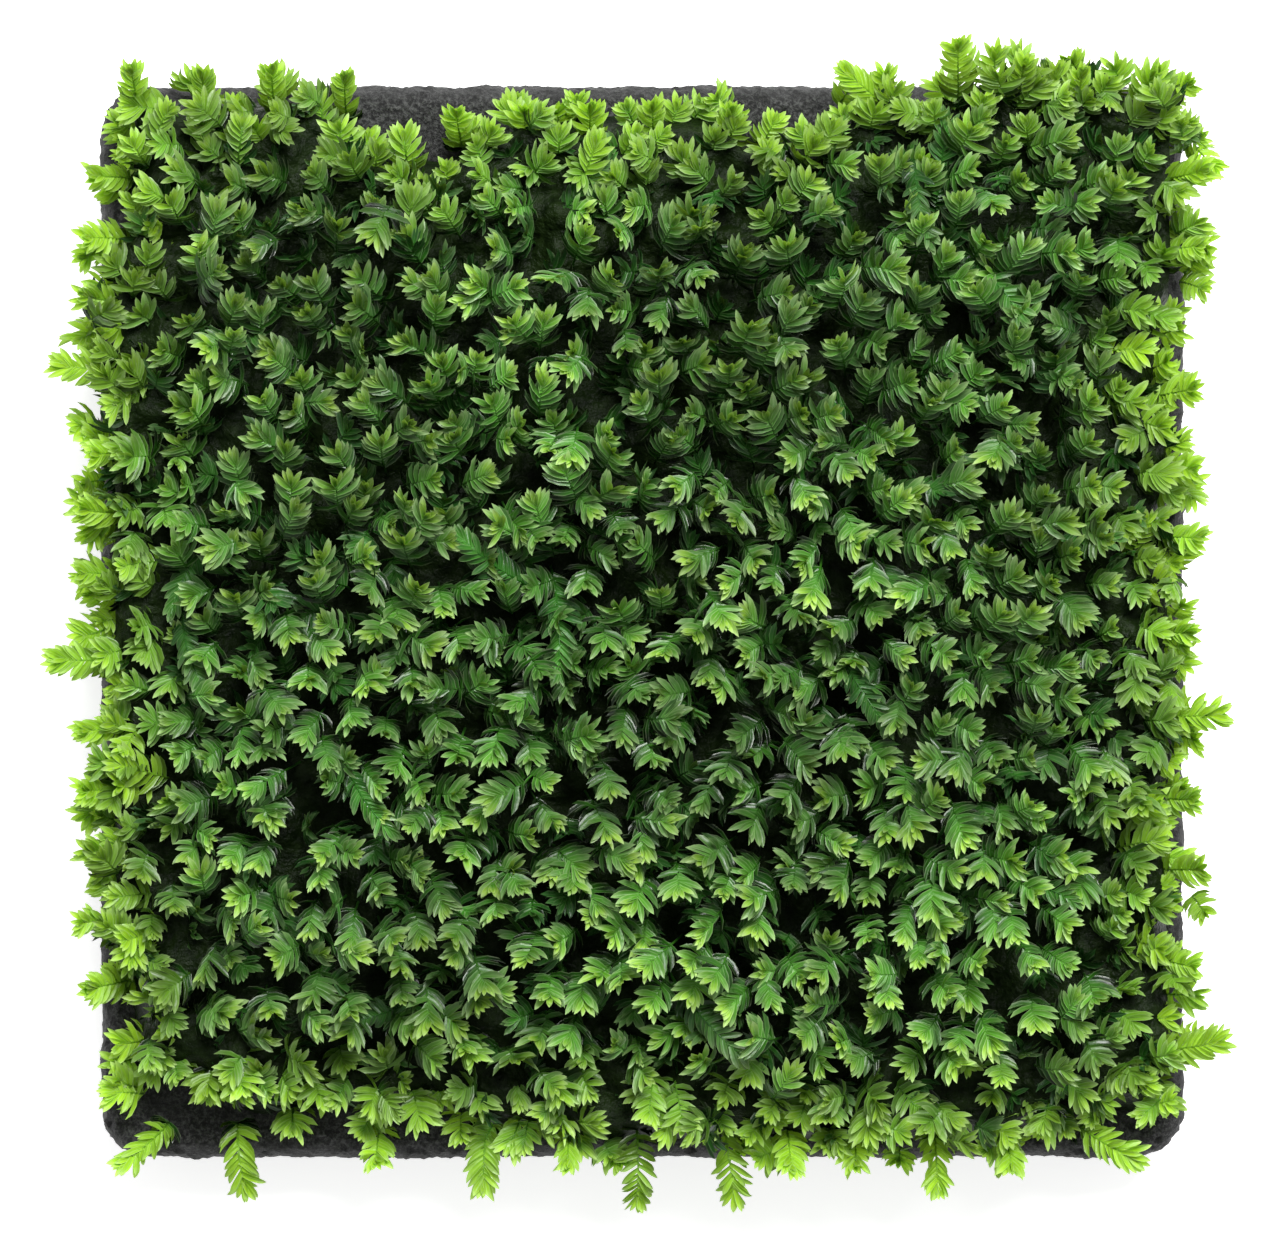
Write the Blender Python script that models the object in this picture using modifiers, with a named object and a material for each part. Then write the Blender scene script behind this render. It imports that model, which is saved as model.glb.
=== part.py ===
"""A square pad of porous black ceramic with a carpet of feather-leaved moss growing on it.

The tile lies on z = 0 with its centre on the Z axis. The carpet of moss is one closed solid that
reaches the tips of its shoots, and each shoot that leans out over the tile's edge is its own piece.
North is +Y and east is +X.
"""

import math
import random

import bmesh
import bpy

MM = 0.001

# Tile
TILE_WIDTH = 80.0 * MM
TILE_DEPTH = 79.2 * MM
TILE_THICKNESS = 9.0 * MM
CORNER_RADIUS = 3.7 * MM
CORNER_STEPS = 6
EDGE_ROUNDING = 1.8 * MM
EDGE_STEPS = 3
ROUNDED_ABOVE = math.radians(60)

# Carpet of moss
GAP = 0.3 * MM
MAT_CELLS = 23
MAT_INSET = 3.4 * MM
MAT_NORTH_INSET = 5.7 * MM
MAT_SOUTH_WEST_INSET = 5.4 * MM
MAT_CORNER_PULL = 0.16
MAT_UNDERCUT = 0.5 * MM
MAT_HEIGHT = 12.6 * MM
MAT_RIM_HEIGHT = 8.0 * MM
MAT_SHOULDER = 9.0 * MM
MAT_LUMPS = 1.3 * MM
MAT_SEED = 11

# Places where the carpet is low or high: (east, north, radius, change of height)
MAT_RELIEF = (
    (-5.0 * MM, -1.0 * MM, 7.0 * MM, -2.6 * MM),
    (-33.0 * MM, 1.0 * MM, 6.0 * MM, -2.4 * MM),
    (-3.0 * MM, -31.0 * MM, 6.0 * MM, -3.0 * MM),
    (-4.0 * MM, 33.0 * MM, 5.0 * MM, -2.0 * MM),
    (-30.0 * MM, -33.0 * MM, 8.0 * MM, -2.0 * MM),
    (23.0 * MM, 30.0 * MM, 9.0 * MM, 2.2 * MM),
    (22.0 * MM, -8.0 * MM, 12.0 * MM, 1.2 * MM),
    (-20.0 * MM, 16.0 * MM, 10.0 * MM, 0.8 * MM),
)

# One shoot
LEAF_PAIRS = 6
LEAF_REACH = 1.75 * MM
STEM_HALF_WIDTH = 0.35 * MM
TIP_HALF_WIDTH = 0.12 * MM
BARE_STEM = 0.16
NOTCH = 0.42
TIP_TAPER = 0.52
VEIN_LAG = 0.5
TOOTH_LENGTH = 0.85
FOLD = 0.22
SHOOT_THICKNESS = 0.42 * MM
EDGE_INSET = 2.7 * MM
ROW_INSET = 4.7 * MM

# How steeply a shoot rises at its root and at its tip, in degrees
HABITS = {"upright": (88, 42), "leaning": (82, 12), "drooping": (66, -22)}

# Each side's outward heading in degrees, its distance from the middle, and its shoots:
# (place along the side in mm, turn in degrees, length in mm, habit, distance in from the edge)
SIDES = {
    "north": (
        90,
        TILE_DEPTH / 2,
        (
            (-36.6, 6, 9.5, "upright", EDGE_INSET),
            (-31.6, 5, 8.5, "upright", EDGE_INSET),
            (-26.8, 0, 9.5, "upright", EDGE_INSET),
            (-21.6, 0, 8.0, "upright", EDGE_INSET),
            (-13.2, 8, 7.0, "upright", ROW_INSET),
            (-8.4, 4, 7.5, "upright", ROW_INSET),
            (-3.8, 0, 7.5, "upright", ROW_INSET),
            (0.8, 0, 8.0, "upright", ROW_INSET),
            (6.2, -6, 7.5, "upright", ROW_INSET),
            (18.6, 52, 10.0, "leaning", EDGE_INSET),
            (23.0, 4, 13.5, "upright", EDGE_INSET),
            (27.3, -4, 10.5, "upright", EDGE_INSET),
            (31.6, -6, 9.0, "upright", EDGE_INSET),
            (35.9, -22, 9.0, "upright", EDGE_INSET),
        ),
    ),
    "east": (
        0,
        TILE_WIDTH / 2,
        (
            (32.0, 10, 10.0, "upright", EDGE_INSET),
            (27.0, 2, 9.5, "upright", EDGE_INSET),
            (16.5, 5, 8.5, "upright", EDGE_INSET),
            (11.2, -4, 8.5, "upright", EDGE_INSET),
            (6.2, -3, 9.5, "upright", EDGE_INSET),
            (-0.8, 0, 8.0, "upright", EDGE_INSET),
            (-7.0, 3, 9.5, "leaning", EDGE_INSET),
            (-12.8, -4, 8.5, "upright", EDGE_INSET),
            (-18.0, 0, 9.5, "upright", EDGE_INSET),
            (-24.6, -8, 8.5, "upright", EDGE_INSET),
            (-31.4, 10, 9.5, "leaning", EDGE_INSET),
        ),
    ),
    "south": (
        270,
        TILE_DEPTH / 2,
        (
            (-34.8, -48, 8.0, "leaning", EDGE_INSET),
            (-29.6, 0, 8.5, "drooping", EDGE_INSET),
            (-19.2, -4, 7.5, "upright", EDGE_INSET),
            (-11.4, -3, 8.5, "leaning", EDGE_INSET),
            (-5.4, 0, 8.0, "upright", EDGE_INSET),
            (-0.4, 2, 10.0, "drooping", EDGE_INSET),
            (6.0, 9, 9.5, "drooping", EDGE_INSET),
            (10.6, 4, 8.5, "upright", EDGE_INSET),
            (15.6, -3, 8.0, "upright", EDGE_INSET),
            (21.4, 0, 9.0, "leaning", EDGE_INSET),
            (26.4, 8, 8.5, "upright", EDGE_INSET),
            (32.0, 58, 9.0, "leaning", EDGE_INSET),
        ),
    ),
    "west": (
        180,
        TILE_WIDTH / 2,
        (
            (32.4, 0, 8.0, "upright", EDGE_INSET),
            (27.8, -3, 9.0, "upright", EDGE_INSET),
            (23.2, -6, 9.5, "upright", EDGE_INSET),
            (18.4, 0, 10.0, "leaning", EDGE_INSET),
            (12.4, 4, 8.0, "upright", EDGE_INSET),
            (8.0, 0, 9.5, "upright", EDGE_INSET),
            (3.4, -4, 10.0, "upright", EDGE_INSET),
            (-2.8, 0, 10.5, "leaning", EDGE_INSET),
            (-7.6, 5, 9.5, "upright", EDGE_INSET),
            (-12.2, 0, 9.5, "upright", EDGE_INSET),
            (-16.8, -6, 9.0, "upright", EDGE_INSET),
            (-21.4, 4, 10.0, "upright", EDGE_INSET),
            (-26.2, 6, 8.5, "upright", EDGE_INSET),
        ),
    ),
}

PART_NAME = "moss_clump"


def clear_scene():
    for existing in list(bpy.data.objects):
        bpy.data.objects.remove(existing, do_unlink=True)


def make_collection(name):
    collection = bpy.data.collections.new(name)
    bpy.context.scene.collection.children.link(collection)
    return collection


def make_material(name, colour, roughness, metallic=0.0):
    material = bpy.data.materials.new(name)
    material.use_nodes = True
    shader = material.node_tree.nodes["Principled BSDF"]
    shader.inputs["Base Color"].default_value = (*colour, 1.0)
    shader.inputs["Roughness"].default_value = roughness
    shader.inputs["Metallic"].default_value = metallic
    return material


def add_object(name, shape, material, collection):
    """Turns a bmesh into a named object with its material."""
    mesh = bpy.data.meshes.new(name)
    shape.to_mesh(mesh)
    shape.free()
    mesh.materials.append(material)
    added = bpy.data.objects.new(name, mesh)
    collection.objects.link(added)
    return added


def make_tile(material, collection):
    """A slab with rounded corners and softly rounded edges, lying on z = 0."""
    shape = bmesh.new()
    bmesh.ops.create_cube(shape, size=1.0)
    for vertex in shape.verts:
        vertex.co.x *= TILE_WIDTH
        vertex.co.y *= TILE_DEPTH
        vertex.co.z = (vertex.co.z + 0.5) * TILE_THICKNESS
    upright = [edge for edge in shape.edges if abs(edge.verts[0].co.z - edge.verts[1].co.z) > GAP]
    bmesh.ops.bevel(
        shape,
        geom=upright,
        offset=CORNER_RADIUS,
        segments=CORNER_STEPS,
        profile=0.5,
        affect="EDGES",
    )
    tile = add_object("tile", shape, material, collection)
    rounding = tile.modifiers.new("edge_rounding", "BEVEL")
    rounding.width = EDGE_ROUNDING
    rounding.segments = EDGE_STEPS
    rounding.limit_method = "ANGLE"
    rounding.angle_limit = ROUNDED_ABOVE
    tile.data.shade_smooth()
    tile.data.set_sharp_from_angle(angle=ROUNDED_ABOVE)
    return tile


def smooth_step(value):
    held = min(max(value, 0.0), 1.0)
    return held * held * (3.0 - 2.0 * held)


def mat_insets(east, north):
    """How far the carpet stays in from the tile's edge at this place, across and along."""
    bare_north = smooth_step((east + 0.62) / 0.2) * smooth_step((0.42 - east) / 0.2)
    bare_south_west = smooth_step((-0.2 - east) / 0.2)
    if north > 0:
        along = MAT_INSET + (MAT_NORTH_INSET - MAT_INSET) * bare_north
    else:
        along = MAT_INSET + (MAT_SOUTH_WEST_INSET - MAT_INSET) * bare_south_west
    return MAT_INSET, along


def mat_outline(east, north):
    """Places a point of the square from -1 to 1 inside the carpet's outline."""
    inset_across, inset_along = mat_insets(east, north)
    pull_across = math.sqrt(1.0 - MAT_CORNER_PULL * north * north / 2.0)
    pull_along = math.sqrt(1.0 - MAT_CORNER_PULL * east * east / 2.0)
    x = east * pull_across * (TILE_WIDTH / 2 - inset_across)
    y = north * pull_along * (TILE_DEPTH / 2 - inset_along)
    return x, y


def mat_height(x, y, east, north, lump):
    """Height of the carpet above the tile: rounded down at the edges, lumpy, with hollows."""
    room = min(1.0 - abs(east), 1.0 - abs(north)) * TILE_WIDTH / 2
    height = MAT_RIM_HEIGHT + (MAT_HEIGHT - MAT_RIM_HEIGHT) * smooth_step(room / MAT_SHOULDER)
    for centre_x, centre_y, radius, change in MAT_RELIEF:
        distance = math.hypot(x - centre_x, y - centre_y) / radius
        height += change * math.exp(-distance * distance)
    return height + lump * MAT_LUMPS


def make_moss_mat(material, collection):
    """The carpet: a lumpy top, steep sides that lean in a little, and a flat underside."""
    dice = random.Random(MAT_SEED)
    shape = bmesh.new()
    bmesh.ops.create_grid(shape, x_segments=MAT_CELLS, y_segments=MAT_CELLS, size=1.0)
    for vertex in shape.verts:
        east, north = vertex.co.x, vertex.co.y
        x, y = mat_outline(east, north)
        height = mat_height(x, y, east, north, dice.uniform(-1.0, 1.0))
        vertex.co = (x, y, TILE_THICKNESS + height)
    rim = [edge for edge in shape.edges if edge.is_boundary]
    skirt = bmesh.ops.extrude_edge_only(shape, edges=rim)["geom"]
    foot = [item for item in skirt if isinstance(item, bmesh.types.BMVert)]
    for vertex in foot:
        reach = math.hypot(vertex.co.x, vertex.co.y)
        vertex.co.x *= 1.0 - MAT_UNDERCUT / reach
        vertex.co.y *= 1.0 - MAT_UNDERCUT / reach
        vertex.co.z = TILE_THICKNESS + GAP
    foot_edges = [edge for edge in shape.edges if edge.is_boundary]
    bmesh.ops.holes_fill(shape, edges=foot_edges, sides=0)
    bmesh.ops.recalc_face_normals(shape, faces=shape.faces)
    moss_mat = add_object("moss_mat", shape, material, collection)
    moss_mat.data.shade_smooth()
    moss_mat.data.set_sharp_from_angle(angle=ROUNDED_ABOVE)
    return moss_mat


def shoot_rows():
    """Rows along a shoot, from root to tip: (place of the edge, place of the vein, half width),
    with places from 0 to 1. Each pair of leaves is a notch and then a tooth."""
    pitch = (1.0 - BARE_STEM) / LEAF_PAIRS
    rows = [(0.0, 0.0, STEM_HALF_WIDTH)]
    for pair in range(LEAF_PAIRS):
        start = BARE_STEM + pair * pitch
        along = (pair + 1) / LEAF_PAIRS
        reach = LEAF_REACH * (1.0 - TIP_TAPER * along * along)
        rows.append((start, start - VEIN_LAG * pitch * 0.5, reach * NOTCH))
        rows.append((start + TOOTH_LENGTH * pitch, start + VEIN_LAG * pitch, reach))
    rows.append((1.0, 1.0, TIP_HALF_WIDTH))
    return rows


def along_arc(place, length, habit):
    """Distance out, height and steepness at this place on a shoot's evenly bent stem."""
    start, end = (math.radians(angle) for angle in HABITS[habit])
    bend = (end - start) * place
    steepness = start + bend
    out = length * place * (math.sin(steepness) - math.sin(start)) / bend if bend else 0.0
    up = length * place * (math.cos(start) - math.cos(steepness)) / bend if bend else 0.0
    return out, up, steepness


def make_shoot(name, root, heading, length, habit, material, collection):
    """One flat, saw-edged frond of paired leaves, folded along its midrib and bent outward.
    Its root is the object's origin, and it leans towards its own +X."""
    rows = shoot_rows()
    shape = bmesh.new()
    bmesh.ops.create_grid(shape, x_segments=len(rows) - 1, y_segments=2, size=1.0)
    for vertex in shape.verts:
        row = round((vertex.co.x + 1.0) / 2.0 * (len(rows) - 1))
        side = round(vertex.co.y)
        edge_place, vein_place, half_width = rows[row]
        place = edge_place if side else vein_place
        out, up, steepness = along_arc(place, length, habit)
        raised = FOLD * half_width * abs(side)
        vertex.co.x = out - raised * math.sin(steepness)
        vertex.co.y = side * half_width
        vertex.co.z = up + raised * math.cos(steepness)
    shoot = add_object(name, shape, material, collection)
    shoot.location = root
    shoot.rotation_euler.z = math.radians(heading)
    blade = shoot.modifiers.new("leaf_thickness", "SOLIDIFY")
    blade.thickness = SHOOT_THICKNESS
    blade.offset = 0.0
    shoot.data.shade_smooth()
    shoot.data.set_sharp_from_angle(angle=ROUNDED_ABOVE)
    return shoot


def make_side(side, material, collection):
    """The shoots that stand clear of the carpet along one side of the tile."""
    facing, half_size, shoots = SIDES[side]
    outward = (math.cos(math.radians(facing)), math.sin(math.radians(facing)))
    for number, (place, turn, length, habit, inset) in enumerate(shoots, start=1):
        out = half_size - inset
        along = place * MM
        root = (
            outward[0] * out + abs(outward[1]) * along,
            outward[1] * out + abs(outward[0]) * along,
            TILE_THICKNESS + GAP + SHOOT_THICKNESS / 2,
        )
        name = f"shoot_{side}_{number}"
        make_shoot(name, root, facing + turn, length * MM, habit, material, collection)


def main():
    clear_scene()
    collection = make_collection(PART_NAME)
    ceramic = make_material("black_porous_ceramic", (0.018, 0.018, 0.019), 0.62)
    deep_moss = make_material("moss_carpet", (0.045, 0.13, 0.022), 0.55)
    young_moss = make_material("edge_shoots", (0.24, 0.50, 0.045), 0.5)
    make_tile(ceramic, collection)
    make_moss_mat(deep_moss, collection)
    for side in SIDES:
        make_side(side, young_moss, collection)


main()
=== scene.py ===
import math

import bpy
import numpy as np
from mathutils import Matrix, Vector, bvhtree, noise


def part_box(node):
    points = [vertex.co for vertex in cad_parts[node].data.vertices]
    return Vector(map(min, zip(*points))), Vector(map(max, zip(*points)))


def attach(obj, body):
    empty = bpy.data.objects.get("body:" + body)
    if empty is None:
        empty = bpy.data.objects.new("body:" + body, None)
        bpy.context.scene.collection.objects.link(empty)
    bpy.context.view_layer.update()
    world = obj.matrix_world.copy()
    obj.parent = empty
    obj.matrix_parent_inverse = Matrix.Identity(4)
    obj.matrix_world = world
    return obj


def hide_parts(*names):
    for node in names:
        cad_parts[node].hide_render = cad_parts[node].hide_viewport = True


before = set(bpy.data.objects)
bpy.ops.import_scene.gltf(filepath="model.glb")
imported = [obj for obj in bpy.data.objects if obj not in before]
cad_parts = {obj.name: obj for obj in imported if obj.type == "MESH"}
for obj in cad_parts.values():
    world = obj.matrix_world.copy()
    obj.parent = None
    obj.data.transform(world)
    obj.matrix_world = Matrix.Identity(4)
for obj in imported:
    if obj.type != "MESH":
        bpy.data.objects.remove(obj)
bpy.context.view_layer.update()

mm = 0.001
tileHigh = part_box("tile")[1]
tileTop = tileHigh.z
tileHalf = (tileHigh.x, tileHigh.y)
bakeMap = "OFBake"


# view

view = {
    "distance": 0.45,          # lens to tile top
    "coverage": 94.4 * mm,     # width seen at the tile's top
    "sensor": 36.0,            # mm
    "centre": (0.0, 0.2 * mm),
}


def makeCamera():
    data = bpy.data.cameras.new("camera")
    data.sensor_width = view["sensor"]
    data.lens = view["sensor"] * view["distance"] / view["coverage"]
    data.clip_start = 0.01
    data.clip_end = 10.0
    camera = bpy.data.objects.new("camera", data)
    camera.location = (*view["centre"], tileTop + view["distance"])
    bpy.context.scene.collection.objects.link(camera)
    bpy.context.scene.camera = camera


makeCamera()
print("camera ready")


# shader helpers

class Wire:
    # one socket; sums and products of wires add Math nodes
    def __init__(self, tree, socket):
        self.tree = tree
        self.socket = socket

    def maths(self, operation, first, second=None):
        node = self.tree.nodes.new("ShaderNodeMath")
        node.operation = operation
        for place, value in enumerate((first, second)):
            if isinstance(value, Wire):
                self.tree.links.new(value.socket, node.inputs[place])
            elif value is not None:
                node.inputs[place].default_value = value
        return Wire(self.tree, node.outputs[0])

    def __add__(self, other):
        return self.maths("ADD", self, other)

    def __radd__(self, other):
        return self.maths("ADD", other, self)

    def __sub__(self, other):
        return self.maths("SUBTRACT", self, other)

    def __rsub__(self, other):
        return self.maths("SUBTRACT", other, self)

    def __mul__(self, other):
        return self.maths("MULTIPLY", self, other)

    def __rmul__(self, other):
        return self.maths("MULTIPLY", other, self)

    def __abs__(self):
        return self.maths("ABSOLUTE", self)

    def held(self):
        return self.maths("MINIMUM", self.maths("MAXIMUM", self, 0.0), 1.0)


class Finish:
    # a material whose nodes are added one call at a time
    def __init__(self, name):
        self.material = bpy.data.materials.new(name)
        self.material.use_nodes = True
        self.tree = self.material.node_tree
        self.tree.nodes.clear()
        self.output = self.tree.nodes.new("ShaderNodeOutputMaterial")

    def node(self, kind, settings=None, sockets=None):
        made = self.tree.nodes.new("ShaderNode" + kind)
        for name, value in (settings or {}).items():
            if name == "stops":
                self.setStops(made.color_ramp, value)
            else:
                setattr(made, name, value)
        for name, value in (sockets or {}).items():
            if isinstance(value, Wire):
                self.tree.links.new(value.socket, made.inputs[name])
            else:
                made.inputs[name].default_value = value
        return made

    def setStops(self, ramp, stops):
        while len(ramp.elements) < len(stops):
            ramp.elements.new(1.0)
        for element, (place, colour) in zip(ramp.elements, stops):
            element.position = place
            element.color = (*colour, 1.0)

    def wire(self, made, name=0):
        return Wire(self.tree, made.outputs[name])

    def attribute(self, name):
        made = self.node("Attribute", {"attribute_type": "GEOMETRY", "attribute_name": name})
        parts = self.node("SeparateXYZ", sockets={"Vector": self.wire(made, "Vector")})
        return [self.wire(parts, axis) for axis in "XYZ"]

    def noise(self, scale, detail=3.0, roughness=0.55):
        place = self.node("TexCoord")
        made = self.node("TexNoise", {"noise_dimensions": "3D"}, {
            "Vector": self.wire(place, "Object"), "Scale": scale,
            "Detail": detail, "Roughness": roughness})
        return self.wire(made, "Fac")

    def step(self, value, low, high):
        made = self.node("MapRange", {"interpolation_type": "SMOOTHSTEP"}, {
            "Value": value, "From Min": low, "From Max": high})
        return self.wire(made, "Result")

    def ramp(self, value, stops):
        made = self.node("ValToRGB", {"stops": stops}, {"Fac": value})
        return self.wire(made, "Color")

    def blend(self, factor, first, second, how="MIX"):
        made = self.node("Mix", {"data_type": "RGBA", "blend_type": how})
        for name, value in (("Factor_Float", factor), ("A_Color", first), ("B_Color", second)):
            target = next(s for s in made.inputs if s.identifier == name)
            if isinstance(value, Wire):
                self.tree.links.new(value.socket, target)
            else:
                target.default_value = value if name == "Factor_Float" else (*value, 1.0)
        return Wire(self.tree, next(s for s in made.outputs if s.identifier == "Result_Color"))

    def bump(self, height, depth):
        made = self.node("Bump", sockets={"Height": height, "Distance": depth, "Strength": 1.0})
        return self.wire(made, "Normal")

    def show(self, shader):
        self.tree.links.new(shader.socket, self.output.inputs["Surface"])
        return self.material


# finishes

leafFinish = {
    "young": (0.42, 0.66, 0.08),
    "grown": (0.082, 0.24, 0.036),
    "old": (0.016, 0.070, 0.012),
    "dead": (0.003, 0.009, 0.002),
    "base": (0.030, 0.19, 0.004),      # sappy green where the blade leaves the stem
    # painted glow: the yellow-green of shoots lit through from behind by the pale floor, painted into the
    # colour
    "painted_glow": (0.38, 0.64, 0.018),
    # grey-green of older leaves: partly their own colour, partly a painted wet sheen
    "grey_and_sheen": (0.15, 0.24, 0.11),
    # pale green of young tips, margins and midrib, also used for painted highlights and edge glints
    "pale": (0.52, 0.66, 0.34),
    "backlight": (0.36, 0.64, 0.03),
    "roughness": (0.30, 0.46),
}


def makeLeafFinish():
    finish = Finish("moss_leaf")
    across, along, leafSeed = finish.attribute("leafPlace")
    # the third value read here is a painted glow, not a property of the leaf
    age, tint, painted_glow = finish.attribute("leafLife")
    fresh = (1.0 - age * 1.6).held()
    colour = finish.ramp(age, [
        (0.0, leafFinish["young"]), (0.24, leafFinish["grown"]),
        (0.58, leafFinish["old"]), (1.0, leafFinish["dead"])])
    # older leaves of some shoots blend toward grey-green: partly their own colour, partly a painted wet
    # sheen
    greyAndSheen = finish.step(age, 0.06, 0.30) * finish.step(tint, 1.0, 0.0) * fresh
    colour = finish.blend(greyAndSheen.held(), colour, leafFinish["grey_and_sheen"])
    sappy = (1.0 - finish.step(along, 0.10, 0.70)) * (0.3 + fresh * 0.7)
    colour = finish.blend(sappy.held(), colour, leafFinish["base"])
    # painted glow, fading on older leaves
    colour = finish.blend((painted_glow * (1.0 - age)).held(), colour, leafFinish["painted_glow"])
    side = abs(across)
    # tips paler: partly the young tips' own colour, partly a painted highlight
    tipward = finish.step(along, 0.55, 1.0)
    colour = finish.blend((tipward * fresh * 0.7).held(), colour, leafFinish["pale"])
    # margins and midrib lighter: the real pale border and midrib, partly painted light caught at the edges;
    # old leaves keep a quarter of it as painted edge glints
    margin = finish.step(side, 0.70, 1.0)
    rib = 1.0 - finish.step(side, 0.04, 0.18)
    borderAndGlint = (margin * 0.5 + rib * 0.2) * (0.25 + fresh * 0.75)
    colour = finish.blend(borderAndGlint.held(), colour, leafFinish["pale"])
    mottle = finish.noise(1900.0, 1.0)
    shade = 0.66 + mottle * 0.30 + (tint - 0.5) * 0.50 + (leafSeed - 0.5) * 0.26
    even = finish.node("CombineColor", sockets={"Red": shade, "Green": shade, "Blue": shade})
    colour = finish.blend(1.0, colour, finish.wire(even, "Color"), "MULTIPLY")
    low, high = leafFinish["roughness"]
    roughness = low + mottle * (high - low) + (leafSeed - 0.5) * 0.12 - age * 0.08
    normal = finish.bump(finish.noise(4200.0, 0.0) * 0.5 + rib * 0.5, 0.00003)
    blade = finish.node("BsdfPrincipled", sockets={
        "Base Color": colour, "Roughness": roughness, "Normal": normal, "Specular IOR Level": 0.26})
    through = finish.node("BsdfTranslucent", sockets={"Color": (*leafFinish["backlight"], 1.0)})
    # the painted glow also raises the translucent share
    share = (0.30 - age * 0.45 + painted_glow * 0.16).held()
    mixed = finish.node("MixShader", sockets={
        "Fac": share, 1: finish.wire(blade), 2: finish.wire(through)})
    return finish.show(finish.wire(mixed))


# near black: the wet thatch's own dark colour, made darker still as painted shade in the gaps between the
# shoots
bedFinish = {"dark": (0.002, 0.005, 0.001), "light": (0.010, 0.020, 0.004)}


def makeBedFinish():
    finish = Finish("thatch_with_painted_shade")
    grain = finish.noise(900.0, 5.0)
    colour = finish.ramp(grain, [(0.3, bedFinish["dark"]), (0.75, bedFinish["light"])])
    roughness = 0.16 + finish.noise(500.0) * 0.5
    normal = finish.bump(finish.noise(1500.0, 4.0), 0.0004)
    body = finish.node("BsdfPrincipled", sockets={
        "Base Color": colour, "Roughness": roughness, "Normal": normal, "Specular IOR Level": 0.08})
    return finish.show(finish.wire(body))


tileFinish = {
    "black": (0.006, 0.006, 0.006),
    "dust": (0.080, 0.082, 0.079),
    "rim": (0.020, 0.020, 0.020),
}


def makeTileFinish():
    finish = Finish("black_porous_ceramic")
    rim, wetAndShade, pit = finish.attribute("tilePlace")
    grain = finish.noise(3400.0, 5.0, 0.7)
    patch = finish.noise(220.0, 3.0)
    colour = finish.ramp(grain, [(0.44, tileFinish["black"]), (0.66, tileFinish["dust"])])
    worn = finish.step(rim, 0.0, 0.9) * (0.25 + patch * 0.5)
    colour = finish.blend(worn.held(), colour, tileFinish["rim"])
    # darkened toward black in the pits, as painted shade there, and inward from the rim, partly the wet
    # ceramic's own darkness and partly painted shade under the moss
    colour = finish.blend((pit * 0.6 + wetAndShade * 0.9).held(), colour, tileFinish["black"])
    roughness = (0.62 - wetAndShade * 0.34 + (grain - 0.5) * 0.3 + (patch - 0.5) * 0.2).held()
    normal = finish.bump(grain + finish.noise(5200.0, 2.0) * 0.5, 0.00022)
    body = finish.node("BsdfPrincipled", sockets={
        "Base Color": colour, "Roughness": roughness, "Normal": normal, "Specular IOR Level": 0.28})
    return finish.show(finish.wire(body))


leafMaterial = makeLeafFinish()
bedMaterial = makeBedFinish()
tileMaterial = makeTileFinish()
print("finishes ready")


# mesh helpers

def smooth(value):
    held = np.clip(value, 0.0, 1.0)
    return held * held * (3.0 - 2.0 * held)


def makeMesh(name, points, faces, material, vectors=None, uv=None):
    # faces is a list of index arrays, each with one face size
    mesh = bpy.data.meshes.new(name)
    mesh.vertices.add(len(points))
    mesh.vertices.foreach_set("co", np.asarray(points, np.float32).ravel())
    corners = np.concatenate([block.ravel() for block in faces]).astype(np.int32)
    sizes = np.concatenate([np.full(len(block), block.shape[1]) for block in faces])
    starts = np.concatenate([[0], np.cumsum(sizes)[:-1]]).astype(np.int32)
    mesh.loops.add(len(corners))
    mesh.loops.foreach_set("vertex_index", corners)
    mesh.polygons.add(len(sizes))
    mesh.polygons.foreach_set("loop_start", starts)
    mesh.update(calc_edges=True)
    for key, values in (vectors or {}).items():
        layer = mesh.attributes.new(key, "FLOAT_VECTOR", "POINT")
        layer.data.foreach_set("vector", np.asarray(values, np.float32).ravel())
    if uv is not None:
        layer = mesh.uv_layers.new(name=bakeMap)
        layer.data.foreach_set("uv", np.asarray(uv, np.float32)[corners].ravel())
    mesh.materials.append(material)
    mesh.shade_smooth()
    piece = bpy.data.objects.new(name, mesh)
    bpy.context.scene.collection.objects.link(piece)
    return piece


def triangleCount(piece):
    sizes = np.empty(len(piece.data.polygons), np.int32)
    piece.data.polygons.foreach_get("loop_total", sizes)
    return int((sizes - 2).sum())


# leaves and stems

leafShape = {
    "widest": 0.52,            # share of the length
    "baseWidth": 0.66,         # share of the full width
    "tipPower": 2.8,
    "cup": 0.24,
}


def bladeWidth(along):
    share = smooth(along / leafShape["widest"])
    rising = leafShape["baseWidth"] + (1.0 - leafShape["baseWidth"]) * share
    beyond = np.clip((along - leafShape["widest"]) / (1.0 - leafShape["widest"]), 0.0, 1.0)
    return rising * (1.0 - beyond ** leafShape["tipPower"])


def bladeGrid(rows, columns):
    # places (along, across) of a blade's points, its quads, and the triangles at its tip
    across = np.linspace(-1.0, 1.0, columns + 1)
    places = [(along, side) for along in rows for side in across]
    places.append((1.0, 0.0))
    quads = []
    for row in range(len(rows) - 1):
        for column in range(columns):
            first = row * (columns + 1) + column
            quads.append((first, first + 1, first + columns + 2, first + columns + 1))
    last = (len(rows) - 1) * (columns + 1)
    tips = [(last + column, last + column + 1, len(places) - 1) for column in range(columns)]
    return np.array(places), np.array(quads), np.array(tips)


fineBlade = bladeGrid((0.0, 0.22, 0.46, 0.70, 0.88), 4)
plainBlade = bladeGrid((0.0, 0.40, 0.76), 2)


def unit(vectors):
    return vectors / np.linalg.norm(vectors, axis=-1, keepdims=True)


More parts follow.
